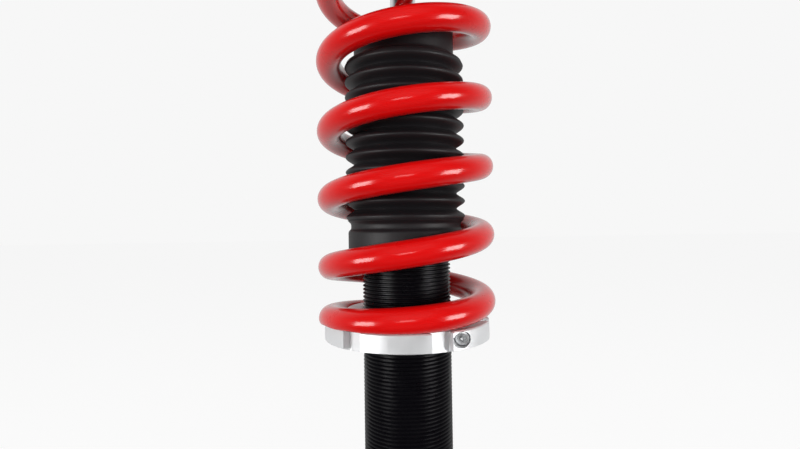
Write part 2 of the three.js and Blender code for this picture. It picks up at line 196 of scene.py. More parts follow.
def build(name, *surfaces, sharp_degrees=32):
    """One mesh object from several surfaces. Points are stacked and each surface's face numbers
    are raised by the number of points before it. Edges sharper than the angle stay crisp."""
    points, faces, count = [], [], 0
    for surface_points, surface_faces in surfaces:
        points.append(surface_points)
        faces += [np.asarray(block) + count for block in surface_faces if len(block)]
        count += len(surface_points)
    points = np.concatenate(points).astype(np.float32)
    corners = np.concatenate([block.ravel() for block in faces]).astype(np.int32)
    sizes = np.concatenate([np.full(len(block), block.shape[1]) for block in faces])
    starts = np.concatenate([[0], np.cumsum(sizes)[:-1]])
    mesh = bpy.data.meshes.new(name)
    mesh.vertices.add(len(points))
    mesh.vertices.foreach_set("co", points.ravel())
    mesh.loops.add(len(corners))
    mesh.loops.foreach_set("vertex_index", corners)
    mesh.polygons.add(len(sizes))
    mesh.polygons.foreach_set("loop_start", starts.astype(np.int32))
    mesh.update(calc_edges=True)
    mesh.validate()
    mesh.shade_smooth()
    mesh.set_sharp_from_angle(angle=math.radians(sharp_degrees))
    made = bpy.data.objects.new(name, mesh)
    bpy.context.scene.collection.objects.link(made)
    print(f"{name}: {len(points)} points, {len(sizes)} faces")
    return made


def stand_for(piece, node, material):
    """The piece takes over from a CAD node: same body, same material slot, the node hidden."""
    piece.data.materials.clear()
    piece.data.materials.append(material)
    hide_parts(node)
    if piece.parent is None and "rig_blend" not in piece:
        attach(piece, body_of[node])
    return piece

# %% [markdown]
# ## Turned shapes
#
# Most of a damper comes off a lathe, so most pieces are an outline carried round an axis. A real
# lathe part never has a knife edge: each corner is broken by a small chamfer or radius, and that
# is what catches the light. `rounded` puts an arc in each corner of the outline before it turns.

# %% Lathe helpers
def rounded(outline, radius=0.3, steps=4):
    """Replaces each corner of a closed (radius, height) outline, in millimetres, by an arc. The
    arc starts and ends the same distance from the corner, at most 0.45 of the shorter side, and
    follows the quadratic curve between those two points and the corner. A third number in an
    outline point gives that corner its own size, and corners on the axis stay sharp."""
    corners = np.array([point[:2] for point in outline], float)
    sizes = np.array([point[2] if len(point) > 2 else radius for point in outline], float)
    before = np.roll(corners, 1, axis=0) - corners
    after = np.roll(corners, -1, axis=0) - corners
    before_length = np.linalg.norm(before, axis=1)
    after_length = np.linalg.norm(after, axis=1)
    reach = np.minimum(sizes, 0.45 * np.minimum(before_length, after_length))
    reach[corners[:, 0] == 0] = 0
    start = corners + before / before_length[:, None] * reach[:, None]
    end = corners + after / after_length[:, None] * reach[:, None]
    rows = []
    for corner, first, last, size in zip(corners, start, end, reach):
        share = np.linspace(0, 1, steps + 1)[:, None] if size > 0 else np.array([[0.5]])
        curve = (1 - share) ** 2 * first + 2 * share * (1 - share) * corner + share**2 * last
        rows.append(curve)
    return np.concatenate(rows)


def revolve(profile, segments=128):
    """Turns (radius, height) points, in millimetres, about Z: x = r cos a, y = r sin a, z = h. A
    profile that starts and ends on the axis is closed by two fans, any other by its last side."""
    profile = np.asarray(profile, float) * MM
    area = np.sum(profile[:, 0] * np.roll(profile[:, 1], -1))
    area -= np.sum(np.roll(profile[:, 0], -1) * profile[:, 1])
    if area < 0:
        profile = profile[::-1]
    solid = profile[0, 0] == 0 and profile[-1, 0] == 0
    rings = profile[1:-1] if solid else profile
    angle = np.linspace(0, 2 * np.pi, segments, endpoint=False)
    x = rings[:, :1] * np.cos(angle)
    y = rings[:, :1] * np.sin(angle)
    z = np.repeat(rings[:, 1:], segments, axis=1)
    points = np.stack([x, y, z], axis=-1).reshape(-1, 3)
    faces = [grid_faces(len(rings), segments, wrap_rows=not solid)]
    if solid:
        poles = np.array([[0, 0, profile[0, 1]], [0, 0, profile[-1, 1]]])
        here = np.arange(segments)
        after = (here + 1) % segments
        last = (len(rings) - 1) * segments
        low, high = np.full(segments, len(points)), np.full(segments, len(points) + 1)
        faces.append(np.stack([low, after, here], axis=-1))
        faces.append(np.stack([high, last + here, last + after], axis=-1))
        points = np.concatenate([points, poles])
    return points, faces


def modulated(radii, heights):
    """A closed turned skin whose radius also changes round the circle: radii has a row for each
    height and a column for each angle, all in millimetres. The first and last rows are closed by
    a flat many-sided face."""
    segments = radii.shape[1]
    angle = np.linspace(0, 2 * np.pi, segments, endpoint=False)
    x = radii * np.cos(angle)
    y = radii * np.sin(angle)
    z = np.repeat(np.asarray(heights, float)[:, None], segments, axis=1)
    points = np.stack([x, y, z], axis=-1).reshape(-1, 3) * MM
    last = (len(heights) - 1) * segments
    floor = np.arange(segments)[::-1][None, :]
    ceiling = last + np.arange(segments)[None, :]
    return points, [grid_faces(len(heights), segments), floor, ceiling]


def moved(surface, matrix):
    """The same surface with every point taken through a 4 x 4 matrix."""
    points, faces = surface
    matrix = np.array(matrix)
    return points @ matrix[:3, :3].T + matrix[:3, 3], faces


def raised(surface, height):
    """The same surface lifted by a height in metres."""
    return moved(surface, Matrix.Translation((0, 0, height)))

# %% [markdown]
# ## Swept shapes
#
# A spring and a thread are both a small section carried along a helix. At every step of the path
# the section stands in the plane of two directions: straight out from the axis, and square to
# both that and the path. Ends are closed by one flat face.

# %% Sweep helper
def sweep(path, section, scale=None):
    """Carries a closed clockwise (out, along) section along a path round Z. Each ring is the path point plus
    out times the outward direction plus along times the direction square to it and the path."""
    count = len(path)
    tangent = np.gradient(path, axis=0)
    tangent /= np.linalg.norm(tangent, axis=1)[:, None]
    outward = path * [1, 1, 0]
    outward /= np.linalg.norm(outward, axis=1)[:, None]
    lift = np.cross(outward, tangent)
    lift /= np.linalg.norm(lift, axis=1)[:, None]
    outward = np.cross(tangent, lift)
    size = np.ones(count) if scale is None else scale
    out_part = outward[:, None, :] * (section[None, :, 0] * size[:, None])[:, :, None]
    lift_part = lift[:, None, :] * (section[None, :, 1] * size[:, None])[:, :, None]
    points = (path[:, None, :] + out_part + lift_part).reshape(-1, 3)
    sides = len(section)
    first = np.arange(sides)[::-1][None, :]
    last = (count - 1) * sides + np.arange(sides)[None, :]
    faces = grid_faces(count, sides)
    return points, [faces, first, last]


def thread_ridge(crest, pitch, low, high, steps=96, depth=0.6134):
    """The ridge of a right-hand thread between two heights, in metres. The section is a triangle
    of the metric depth with its tip cut flat, run out to nothing over the last half turn."""
    root = crest - depth * pitch
    turns = (high - low) / pitch
    share = np.linspace(0, 1, int(turns * steps) + 1)
    angle = 2 * np.pi * turns * share
    runout = np.minimum(share, 1 - share) * turns * 2
    sink = (crest - root) * 1.15 * (1 - np.clip(runout, 0, 1))
    radius = root - sink
    height = low + share * (high - low)
    path = np.stack([radius * np.cos(angle), radius * np.sin(angle), height], axis=-1)
    tall = crest - root
    section = np.array([
        [-0.10 * pitch, -0.46 * pitch],
        [-0.10 * pitch, 0.46 * pitch],
        [0.04 * tall, 0.41 * pitch],
        [0.86 * tall, 0.13 * pitch],
        [tall, 0.07 * pitch],
        [tall, -0.07 * pitch],
        [0.86 * tall, -0.13 * pitch],
        [0.04 * tall, -0.41 * pitch],
    ])
    return sweep(path, section)

# %% [markdown]
# ## Cutting
#
# Holes that run across a turned piece, such as a bolt's pocket in the side of a ring, are the one
# job where a Boolean modifier beats working out the points. The cut is evaluated straight away, so
# the piece that is left is a plain mesh. The manifold solver refuses shapes that aren't closed.

# %% Boolean helper
def apply_cuts(piece, cutters, operation="DIFFERENCE", sharp_degrees=32):
    """Runs a Boolean for each cutter surface and keeps the evaluated mesh."""
    helpers = [build(f"{piece.name}_cutter_{n}", c) for n, c in enumerate(cutters)]
    for helper in helpers:
        cut = piece.modifiers.new(helper.name, "BOOLEAN")
        cut.operation = operation
        cut.object = helper
        cut.solver = "MANIFOLD"
    bpy.context.view_layer.update()
    evaluated = piece.evaluated_get(bpy.context.evaluated_depsgraph_get())
    finished = bpy.data.meshes.new_from_object(evaluated)
    piece.modifiers.clear()
    piece.data = finished
    for helper in helpers:
        bpy.data.objects.remove(helper)
    finished.shade_smooth()
    finished.set_sharp_from_angle(angle=math.radians(sharp_degrees))
    return piece

# %% [markdown]
# ## Finishes
#
# Each finish is a Principled shader with a procedural bump. Tool marks on turned metal are rings
# about the axis, so their noise reads only the distance from the axis and the height: points on
# one ring get one value. Paint and rubber read the plain object position instead.

# %% Shader helpers
def new_finish(name, color, metallic, roughness, **sockets):
    """A material with its Principled shader, constants set on the shader's own sockets."""
    material = bpy.data.materials.new(name)
    material.use_nodes = True
    material.diffuse_color = (*color, 1)
    shader = material.node_tree.nodes["Principled BSDF"]
    shader.inputs["Base Color"].default_value = (*color, 1)
    shader.inputs["Metallic"].default_value = metallic
    shader.inputs["Roughness"].default_value = roughness
    for socket, value in sockets.items():
        shader.inputs[socket.replace("_", " ")].default_value = value
    return material, shader


def add_node(material, kind, inputs=None, **settings):
    """A node with its settings, and with its inputs either linked or set to a value."""
    node = material.node_tree.nodes.new(kind)
    for setting, value in settings.items():
        setattr(node, setting, value)
    for key, value in (inputs or {}).items():
        if isinstance(value, bpy.types.NodeSocket):
            material.node_tree.links.new(value, node.inputs[key])
        else:
            node.inputs[key].default_value = value
    return node


def object_position(material):
    """The point's place in metres, which is the same in every view."""
    return add_node(material, "ShaderNodeTexCoord").outputs["Object"]


def ring_position(material, axis="Z", stretch=0.0):
    """(distance from the axis, height, a little of the angle), for marks that run round a piece."""
    split = add_node(material, "ShaderNodeSeparateXYZ", {0: object_position(material)})
    across = [name for name in "XYZ" if name != axis]
    first, second = (split.outputs[name] for name in across)
    squares = [
        add_node(material, "ShaderNodeMath", {0: part, 1: part}, operation="MULTIPLY").outputs[0]
        for part in (first, second)
    ]
    total = add_node(material, "ShaderNodeMath", {0: squares[0], 1: squares[1]}, operation="ADD")
    radius = add_node(material, "ShaderNodeMath", {0: total.outputs[0]}, operation="SQRT")
    drift = add_node(material, "ShaderNodeMath", {0: first, 1: stretch}, operation="MULTIPLY")
    parts = {0: radius.outputs[0], 1: split.outputs[axis], 2: drift.outputs[0]}
    return add_node(material, "ShaderNodeCombineXYZ", parts).outputs[0]


def noise(material, position, scale, detail=3, roughness=0.5):
    """Fractal noise: about `scale` features to the metre."""
    inputs = {"Vector": position, "Scale": scale, "Detail": detail, "Roughness": roughness}
    return add_node(material, "ShaderNodeTexNoise", inputs).outputs["Fac"]


def spread(material, value, low, high):
    """Carries noise, which keeps to the middle of 0 to 1, to the range from low to high."""
    inputs = {"Value": value, "From Min": 0.3, "From Max": 0.7, "To Min": low, "To Max": high}
    return add_node(material, "ShaderNodeMapRange", inputs).outputs[0]


def add_bump(material, shader, height, strength, distance):
    """Tilts the shading as a surface would whose height changes by `distance` metres."""
    inputs = {"Height": height, "Strength": strength, "Distance": distance}
    bump = add_node(material, "ShaderNodeBump", inputs)
    material.node_tree.links.new(bump.outputs[0], shader.inputs["Normal"])


def link(material, value, socket):
    """Feeds a node's output into a shader's socket."""
    material.node_tree.links.new(value, socket)


# %% [markdown]
# ### Red powder coat
#
# Powder coat is a thick baked plastic skin. It flows before it sets, so it has a gentle orange
# peel a millimetre or two across and a hard gloss on top. The colour hardly varies.

# %% Spring paint
def powder_coat():
    """Deep red under a clear gloss, with an orange-peel bump."""
    material, shader = new_finish(
        "red_powder", (0.74, 0.003, 0.003), 0, 0.4,
        Coat_Weight=1.0, Coat_Roughness=0.16, Coat_IOR=1.4, Specular_IOR_Level=0.1,
    )
    place = object_position(material)
    peel = noise(material, place, 520, 2)
    add_bump(material, shader, peel, 0.12, 0.0002)
    fleck = noise(material, place, 60, 4)
    link(material, spread(material, fleck, 0.26, 0.36), shader.inputs["Roughness"])
    return material

# %% [markdown]
# ### Anodised and bare metals
#
# Hard black anodising is matt at small scale and wears first on the crests of the thread. Bare
# aluminium shows the lathe's feed marks. Chrome, zinc and ground steel differ in colour and in how
# tightly they mirror the room.

# %% Metals
def turned_metal(name, color, roughness, marks=0.25, axis="Z", metallic=1.0, feed=2500):
    """Metal straight from a lathe: fine rings in the bump, and a roughness that drifts."""
    material, shader = new_finish(name, color, metallic, roughness)
    rings = noise(material, ring_position(material, axis), feed, 4, 0.65)
    add_bump(material, shader, rings, marks, 0.00006)
    drift = noise(material, object_position(material), 90, 3)
    value = spread(material, drift, roughness * 0.85, roughness * 1.2)
    link(material, value, shader.inputs["Roughness"])
    return material


def black_anodised():
    """Near-black, with a fine grain in the bump and a roughness that drifts in slow patches."""
    material, shader = new_finish(
        "black_anodised", (0.004, 0.0035, 0.005), 0, 0.3, Specular_IOR_Level=0.18
    )
    place = object_position(material)
    grain = noise(material, place, 2600, 2)
    add_bump(material, shader, grain, 0.15, 0.00003)
    wear = noise(material, place, 140, 4)
    link(material, spread(material, wear, 0.26, 0.42), shader.inputs["Roughness"])
    return material

# %% [markdown]
# ### Rubber and foam
#
# Moulded rubber is dull, with a very fine skin texture, and a little dust makes it greyer where it
# has been handled. The bump stop is a closed foam, so its skin has shallow pores.

# %% Soft finishes
def moulded(name, color, roughness, grain, depth, patch=0.25):
    """A dull moulded skin: fine grain in the bump and slow patches of lighter dust."""
    material, shader = new_finish(name, color, 0, roughness)
    place = object_position(material)
    add_bump(material, shader, noise(material, place, grain, 3), 0.3, depth)
    dust = noise(material, place, 45, 5)
    share = spread(material, dust, 0.0, patch)
    lighter = tuple(min(1.0, channel * 2.2 + 0.01) for channel in color)
    mixed = add_node(
        material, "ShaderNodeMix", {0: share, 6: (*color, 1), 7: (*lighter, 1)}, data_type="RGBA"
    )
    link(material, mixed.outputs[2], shader.inputs["Base Color"])
    return material


finishes = {
    "red_powder": powder_coat(),
    "black_anodised": black_anodised(),
    "machined_aluminium": turned_metal(
        "machined_aluminium", (0.86, 0.87, 0.88), 0.44, 0.8, metallic=0.55
    ),
    "hard_chrome": turned_metal("hard_chrome", (0.88, 0.88, 0.89), 0.06, 0.03),
    "zinc_steel": turned_metal("zinc_steel", (0.8, 0.81, 0.82), 0.28, 0.12, metallic=0.7),
    "hardened_steel": turned_metal("hardened_steel", (0.42, 0.43, 0.45), 0.22, 0.15),
    "blue_anodised": turned_metal("blue_anodised", (0.05, 0.08, 0.42), 0.26, 0.15),
    "boot_rubber": moulded("boot_rubber", (0.0045, 0.0035, 0.0048), 0.55, 3000, 0.00005, 0.15),
    "seal_rubber": moulded("seal_rubber", (0.012, 0.012, 0.012), 0.45, 3500, 0.00003),
    "foam_polymer": moulded("foam_polymer", (0.72, 0.64, 0.45), 0.6, 1200, 0.0002, 0.1),
    "bearing_band": moulded("bearing_band", (0.22, 0.12, 0.06), 0.5, 2500, 0.00003),
}
print(len(finishes), "finishes")


def turn(node, outline, segments=128, radius=0.3, base=None):
    """A turned piece for a CAD node. The outline's heights start at the node's lowest point."""
    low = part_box(node)[0].z if base is None else base
    surface = raised(revolve(rounded(outline, radius), segments), low)
    return stand_for(build(node + "_turned", surface), node, finishes[slot_of[node]])

# %% [markdown]
# ## The coil spring
#
# The wire is 13.6 mm thick and wound to the right. Its two end coils are closed, which means that
# they climb slowly, and ground flat so that they sit square. Between them the coils open to the
# full pitch. The height of the wire's centre is that climb added up, and the upper half is such a
# half too, wound a little wider and turned end over end.

# %% Spring path
def half_rise(turns, pitch):
    """Height of the wire's centre over the perch's underside, `turns` past the front of the closed
    coil: the closed pitch times the turns, plus the extra pitch times the turns since it opened,
    with a smooth-step start (share cubed minus half its fourth power, times the arc)."""
    span = OPENING_END - OPENING_START
    share = np.clip((turns - OPENING_START) / span, 0, 1)
    opened = (share**3 - share**4 / 2) * span + np.maximum(turns - OPENING_END, 0)
    return END_COIL_RISE + END_PITCH * turns + (pitch - END_PITCH) * opened


def wire_height(turns):
    """The lower half as it is, and the upper half as a half-turn image at the wider pitch."""
    lower = perch_low + half_rise(turns, COIL_PITCH)
    upper = spring_floor + spring_ceiling - perch_low - half_rise(SYMMETRY_TURNS - turns, UPPER_PITCH)
    return np.where(turns < SYMMETRY_TURNS / 2, lower, upper)


SPRING_STEPS = 120
SPRING_SIDES = 40
turns = np.linspace(
    -END_TURNS,
    SYMMETRY_TURNS + END_TURNS,
    int(SPRING_STEPS * (SYMMETRY_TURNS + 2 * END_TURNS)) + 1,
)
winding = (turns - 0.25) * 2 * np.pi
wire_centre = np.stack(
    [COIL_RADIUS * np.cos(winding), COIL_RADIUS * np.sin(winding), wire_height(turns)], axis=-1
)
around = np.linspace(0, 2 * np.pi, SPRING_SIDES, endpoint=False)
wire_section = WIRE_RADIUS * np.stack([np.cos(around), -np.sin(around)], axis=-1)
wire_points, wire_faces = sweep(wire_centre, wire_section)
wire_points[:, 2] = np.clip(wire_points[:, 2], spring_floor, spring_ceiling)
spring = build("coil_spring_wire", (wire_points, wire_faces), sharp_degrees=50)

# %% [markdown]
# When the damper closes, the spring's lower end stays on its perch, its upper end follows the rod,
# and the coils close up between them. A wire keeps its round section as it moves, so all points of
# one ring take the share of the ring's centre. The closed end coils take none of it or all of it,
# and the coils between them start to move where the wire lifts off its seat, a tenth of a turn
# past the front.

# %% Spring motion
def set_shares(piece, shares):
    """Writes each point's share of the second body's motion over the one that blend worked out."""
    attribute = piece.data.attributes["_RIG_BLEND"]
    attribute.data.foreach_set("value", np.asarray(shares, np.float32))


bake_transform(spring, "spring", "rod", start=(0, 0, spring_floor), end=(0, 0, spring_ceiling))
free_turns = np.clip((turns - LIFT_OFF) / (SYMMETRY_TURNS - 2 * LIFT_OFF), 0, 1)
set_shares(spring, np.repeat(free_turns, SPRING_SIDES))
stand_for(spring, "coil_spring", finishes["red_powder"])

# %% [markdown]
# ## The threaded body
#
# The damper tube is cut with a 2 mm thread over most of its length, so that the perch can screw up
# and down it. A plain tube at the thread's root carries one long helical ridge. Below the thread is
# a relief groove and a plain band.

# %% Body
body_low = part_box("threaded_body")[0].z
body_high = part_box("threaded_body")[1].z
thread_low = perch_low - 84 * MM
thread_root = THREAD_CREST - 0.6134 * THREAD_PITCH
length = (body_high - body_low) / MM
plain = (thread_low - body_low) / MM
root = thread_root / MM
tube_outline = rounded([
    (20, 0, 0.5),
    (23.9, 0, 0.8),
    (23.9, plain - 5, 0.6),
    (22.4, plain - 4),
    (22.4, plain - 1.5),
    (root, plain - 1),
    (root, length - 0.4, 0.4),
    (root - 0.6, length, 0.3),
    (20, length, 0.5),
])
tube = raised(revolve(tube_outline, 160), body_low)
ridge = thread_ridge(THREAD_CREST, THREAD_PITCH, thread_low, body_high - 1.5 * MM)
body = build("damper_tube", tube, ridge)
stand_for(body, "threaded_body", finishes["black_anodised"])

# %% [markdown]
# ## The dust boot
#
# The boot keeps grit off the rod. Eleven folds let it shorten, a plain skirt hangs over the top of
# the tube, and a neck closes round the rod. The folds are a cosine wave in the radius, sharpened at
# the valleys, followed up the outside and back down the inside a wall's thickness further in.

# %% Boot outline
BOOT_PEAKS = 11
BOOT_PITCH = 8.17
BOOT_WALL = 1.3
SKIRT_RADIUS = 31.4
GROOVE_RADIUS = 29.9
PEAK_RADIUS = 32.5
VALLEY_RADIUS = 27.9
NECK_RADIUS = 27.3
FIRST_PEAK = 21.0
BOOT_HEIGHT = 123.0


def fold_side(inset):
    """(radius, height) up the folds: the mean radius plus a cosine of the height, with the valley
    half of each wave made narrower by raising it to a power."""
    count = 14 * (BOOT_PEAKS - 1) + 1
    phase = np.linspace(0, BOOT_PEAKS - 1, count)
    wave = (1 + np.cos(2 * np.pi * phase)) / 2
    radius = VALLEY_RADIUS + (PEAK_RADIUS - VALLEY_RADIUS) * wave**0.75 - inset
    return np.stack([radius, FIRST_PEAK + BOOT_PITCH * phase], axis=-1)


last_peak = FIRST_PEAK + BOOT_PITCH * (BOOT_PEAKS - 1)


def boot_side(inset):
    """Skirt, groove, folds and neck, from the bottom up, moved in by the wall's thickness."""
    skirt = rounded([
        (SKIRT_RADIUS - inset, 0, 0.2),
        (SKIRT_RADIUS - inset, 13.4, 1.2),
        (GROOVE_RADIUS - inset, 14.8, 0.8),
        (GROOVE_RADIUS - inset, 17.4, 0.8),
        (PEAK_RADIUS - inset - 0.4, 19.6, 0.8),
        (0, 10, 0),
    ])[1:-1]
    neck = rounded([
        (0, 140, 0),
        (PEAK_RADIUS - inset - 0.6, last_peak + 1.6, 0.8),
        (NECK_RADIUS - inset, last_peak + 4.4, 1.2),
        (NECK_RADIUS - inset, BOOT_HEIGHT - 4, 0.5),
    ])[1:-1]
    return np.concatenate([skirt, fold_side(inset), neck])


outside = boot_side(0)
inside = boot_side(BOOT_WALL)[::-1]
crown = rounded([
    (NECK_RADIUS, BOOT_HEIGHT - 3, 0),
    (NECK_RADIUS, BOOT_HEIGHT, 1.6),
    (12.6, BOOT_HEIGHT, 0.4),
    (12.6, BOOT_HEIGHT - 1.5, 0.4),
    (NECK_RADIUS - BOOT_WALL, BOOT_HEIGHT - 1.5, 0.8),
    (NECK_RADIUS - BOOT_WALL, BOOT_HEIGHT - 3, 0),
])
boot_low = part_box("dust_boot")[0].z
boot_profile = np.concatenate([outside, crown, inside])
boot = build("dust_boot_bellows", raised(revolve(boot_profile, 128), boot_low), sharp_degrees=60)

# %% [markdown]
# The boot's neck rides on the rod. Its skirt slides down the tube by a bit over a third of the
# stroke, and the folds close up in between, so the skirt and the neck keep their own length.

# %% Boot motion
SKIRT_SHARE = 0.36
boot_top = boot_low + BOOT_HEIGHT * MM
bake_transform(boot, "spring", "rod", start=(0, 0, boot_low), end=(0, 0, boot_top))
boot_heights = np.array([v.co.z for v in boot.data.vertices]) - boot_low
folded = np.clip((boot_heights / MM - 15) / (last_peak + 3 - 15), 0, 1)
set_shares(boot, SKIRT_SHARE + (1 - SKIRT_SHARE) * folded)
stand_for(boot, "dust_boot", finishes["boot_rubber"])

# %% [markdown]
# ## The spring perch
#
# The perch is a ring with a slit. Six notches take a hook spanner, and a pinch bolt closes the slit
# on the thread. Its surface is a section carried round the ring in stations. At a notch two
# stations stand close together, one on the rim and one on the notch's floor, and the wall of the
# notch is the face between them.

# %% Perch stations
PERCH_THICKNESS = 8.65
BOSS_TOP = 14.5
BOSS_RADIUS = 33.8
PERCH_BORE = 24.0
CHAMFER = 0.6
HEM = -0.5
BELOW = -1.9
CONE_START = 39.6
NOTCH_HALF = 5.45
NOTCH_FLOOR = 39.8
NOTCH_COUNT = 6
SLIT_HALF = 0.8
BARE_START = math.radians(8.2)


def rotate(points, angle):
    """Turns (x, y) rows by an angle."""
    c, s = np.cos(angle), np.sin(angle)
    x = points[..., 0] * c - points[..., 1] * s
    y = points[..., 0] * s + points[..., 1] * c
    return np.stack([x, y], axis=-1)


def notch_stations(inset, side):
    """Half a notch, from its middle to its rim edge, as (x, y) rows with the notch on the X axis.
    An inset widens and deepens it, as a chamfer does."""
    rim = PERCH_RADIUS / MM - inset
    half = NOTCH_HALF + inset
    across = np.array([0.8, 2.2, 3.8])
    floor = np.stack([np.full(3, NOTCH_FLOOR - inset), across], axis=-1)
    corners = np.array([
        [NOTCH_FLOOR - inset, half - 0.5],
        [NOTCH_FLOOR - inset + 0.15, half - 0.15],
        [NOTCH_FLOOR - inset + 0.5, half],
        [math.sqrt(rim**2 - half**2) - 0.15, half],
        [math.sqrt((rim - 0.02) ** 2 - (half + 0.15) ** 2), half + 0.15],
    ])
    return np.concatenate([floor, corners]) * [1, side]


def rim_points(inset):
    """The ring's outer edge, anticlockwise from one side of the slit round to the other."""
    rim = PERCH_RADIUS / MM - inset
    step = 2 * math.pi / NOTCH_COUNT
    bare = np.linspace(BARE_START, step - BARE_START, 24)
    arc = rim * np.stack([np.cos(bare), np.sin(bare)], axis=-1)
    pieces = []
    for notch in range(NOTCH_COUNT):
        turn_by = SLIT_ANGLE + notch * step
        pieces.append(rotate(notch_stations(inset, 1), turn_by))
        pieces.append(rotate(arc, turn_by))
        pieces.append(rotate(notch_stations(inset, -1)[::-1], turn_by + step))
    return np.concatenate(pieces)


def inner_angles():
    """Where each station meets the boss. At a notch the angles lean away from the rim's, so that
    neighbouring stations never cross."""
    step = 2 * math.pi / NOTCH_COUNT
    half = np.concatenate([
        np.arctan2([0.8, 2.2, 3.8], NOTCH_FLOOR),
        np.radians([7.3, 7.7, 8.1, 8.7, 9.2]),
    ])
    bare = np.linspace(BARE_START, step - BARE_START, 24)
    bare = bare + np.radians(1.6) * np.cos(np.linspace(0, math.pi, 24))
    one = np.concatenate([half, bare, step - half[::-1]])
    return np.concatenate([SLIT_ANGLE + n * step + one for n in range(NOTCH_COUNT)])


def inner_points(radius):
    """A circle of the ring's stations, with the first and last on the slit's parallel walls."""
    angle = inner_angles().copy()
    lean = math.asin(SLIT_HALF / radius)
    angle[0] = SLIT_ANGLE + lean
    angle[-1] = SLIT_ANGLE + 2 * math.pi - lean
    return radius * np.stack([np.cos(angle), np.sin(angle)], axis=-1)


def cone_height(flat):
    """Height of the cone under the rim: it climbs evenly from the flat face to the rim's hem."""
    reach = np.linalg.norm(flat, axis=-1) - CONE_START
    slope = (HEM - BELOW) / (PERCH_RADIUS / MM - CONE_START)
    return BELOW + np.clip(reach, 0, None) * slope


def perch_surface():
    """Stacks the levels of the section, closed round the section and open at the slit."""
    levels = [
        (inner_points(PERCH_BORE + 0.6), BELOW),
        (inner_points(CONE_START), BELOW),
        (rim_points(0.15), cone_height(rim_points(0.15))),
        (rim_points(0), cone_height(rim_points(0)) + 0.15),
        (rim_points(0), PERCH_THICKNESS - CHAMFER),
        (rim_points(CHAMFER), PERCH_THICKNESS),
        (inner_points(BOSS_RADIUS + 0.3), PERCH_THICKNESS),
        (inner_points(BOSS_RADIUS), PERCH_THICKNESS + 0.3),
        (inner_points(BOSS_RADIUS - 0.2), BOSS_TOP - 1),
        (inner_points(BOSS_RADIUS - 1.2), BOSS_TOP),
        (inner_points(PERCH_BORE + 0.8), BOSS_TOP),
        (inner_points(PERCH_BORE), BOSS_TOP - 0.8),
        (inner_points(PERCH_BORE), 0.6),
    ]
    rows = [
        np.column_stack([flat, np.broadcast_to(height, len(flat))]) for flat, height in levels
    ]
    points = np.stack(rows) * MM
    count, stations = points.shape[:2]
    first = (np.arange(count) * stations)[None, :]
    last = (np.arange(count) * stations + stations - 1)[::-1][None, :]
    faces = grid_faces(count, stations, wrap_rows=True, wrap_columns=False)
    return points.reshape(-1, 3), [faces, first, last]

# %% Perch
CLAMP_DISTANCE = 30.8 * MM
CLAMP_HEIGHT = 4.05 * MM
CLAMP_SEAT = 24 * MM
HEAD_HEIGHT = 4 * MM

clamp_along = Vector((-math.sin(SLIT_ANGLE), math.cos(SLIT_ANGLE), 0))
clamp_out = Vector((math.cos(SLIT_ANGLE), math.sin(SLIT_ANGLE), 0))
clamp_frame = Matrix((clamp_out, Vector((0, 0, -1)), clamp_along)).transposed().to_4x4()
clamp_frame.translation = clamp_out * CLAMP_DISTANCE + Vector((0, 0, perch_low + CLAMP_HEIGHT))


def along_clamp(outline, segments=48, radius=0.2):
    """A turned shape about the pinch bolt's line: heights are millimetres past the slit."""
    return moved(revolve(rounded(outline, radius), segments), clamp_frame)


pocket = along_clamp(
    [(0, -54), (4.05, -54), (4.05, -24), (2.3, -24), (2.3, 12), (0, 12)], radius=0
)
perch = build("spring_perch_ring", raised(perch_surface(), perch_low), sharp_degrees=28)
apply_cuts(perch, [pocket], sharp_degrees=28)
stand_for(perch, "spring_perch", finishes["machined_aluminium"])

# %% [markdown]
# ## Hexagons, sockets and knobs
#
# A nut's side is a hexagon cut back by a cone at each end, so its radius is the smaller of the two
# at every angle and height. A bolt head's key socket is the same hexagon, turned inside out.

# %% Fasteners
def hexagon(angle, across_flats):
    """Distance from the centre to a hexagon's side at each angle: half the width over the cosine
    of the angle to the nearest flat's middle."""
    nearest = (angle + math.pi / 6) % (math.pi / 3) - math.pi / 6
    return across_flats / 2 / np.cos(nearest)


def nut_surface(across_flats, hole, height, segments=192):
    """A hexagon nut standing on zero. Rows climb the side and go down the hole."""
    angle = np.linspace(0, 2 * np.pi, segments, endpoint=False)
    side = hexagon(angle, across_flats)[None, :]
    corner = across_flats / math.sqrt(3)
    drop = (corner - across_flats / 2 * 0.95) * math.tan(math.radians(30))
    steps = np.linspace(0, 1, 8)
    cone = across_flats / 2 * 0.95 + steps * (corner - across_flats / 2 * 0.95)
    low_rows = np.minimum(side, cone[:, None])
    rows = [
        np.full((1, segments), hole + 0.5),
        low_rows,
        low_rows[::-1],
        np.full((1, segments), hole + 0.5),
        np.full((1, segments), hole),
        np.full((1, segments), hole),
    ]
    heights = np.concatenate([
        [0], steps * drop, height - steps[::-1] * drop, [height], [height - 0.5], [0.5],
    ])
    radii = np.concatenate(rows)
    x = radii * np.cos(angle)
    y = radii * np.sin(angle)
    z = np.repeat(heights[:, None], segments, axis=1)
    points = np.stack([x, y, z], axis=-1).reshape(-1, 3) * MM
    return points, [grid_faces(len(heights), segments, wrap_rows=True)]


